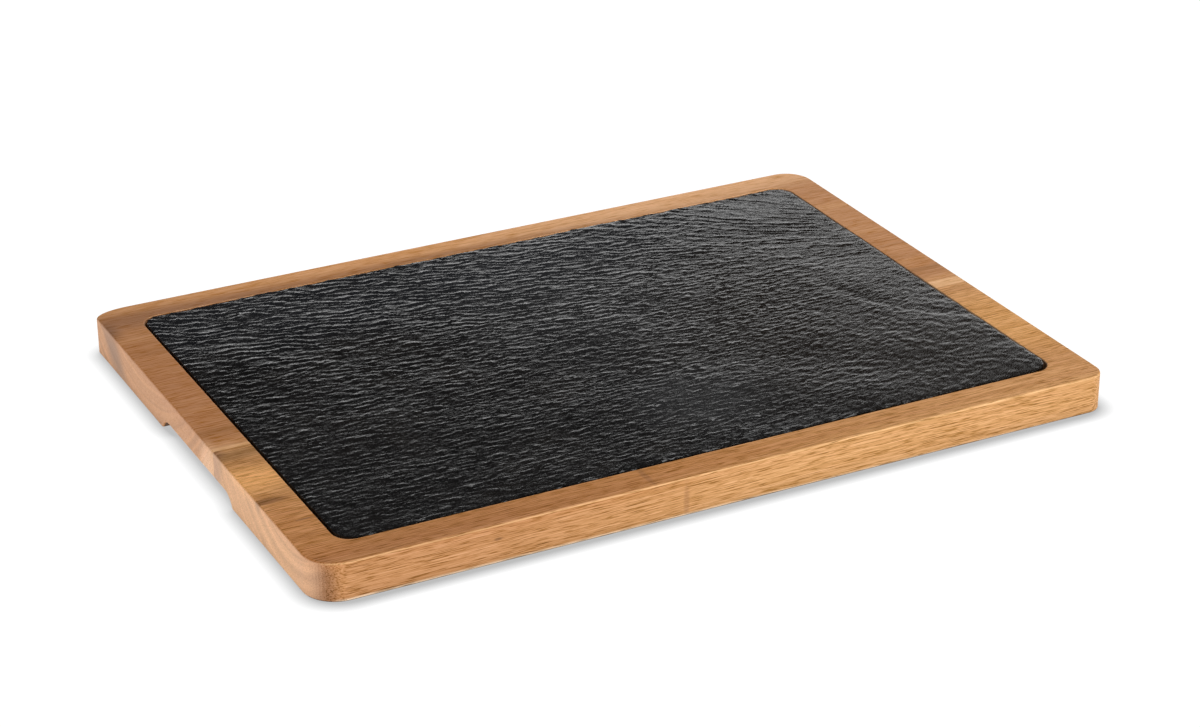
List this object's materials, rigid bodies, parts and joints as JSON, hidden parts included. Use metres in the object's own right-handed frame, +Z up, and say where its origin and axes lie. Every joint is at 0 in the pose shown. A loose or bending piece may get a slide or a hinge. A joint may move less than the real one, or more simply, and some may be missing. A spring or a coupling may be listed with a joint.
{
  "type": "serving board",
  "caption": "Rectangular wooden serving board with rounded corners, a flush lift-out slate plate in a shallow pocket and finger grips under its short ends.",
  "frame": {"origin": "centre of the board's footprint, on the surface it rests on", "axes": "+X along the board's length, +Y across it towards the wider stave, +Z up through the slate"},
  "size_m": [0.42, 0.3, 0.0195],
  "materials": {
    "acacia_rear": "oiled satin, brown heartwood with pale sapwood along its edges",
    "acacia_front": "oiled satin, golden heartwood with fine dark pores",
    "slate": "riven, oiled to a satin black"
  },
  "bodies": {
    "board": {"rear_stave": "acacia_rear", "front_stave": "acacia_front"},
    "slate": {"slate_plate": "slate"}
  },
  "joints": [
    {"name": "slate_lift", "type": "slide", "parent": "board", "child": "slate", "axis": [0, 0, 1], "range_m": [0, 0.05]}
  ]
}
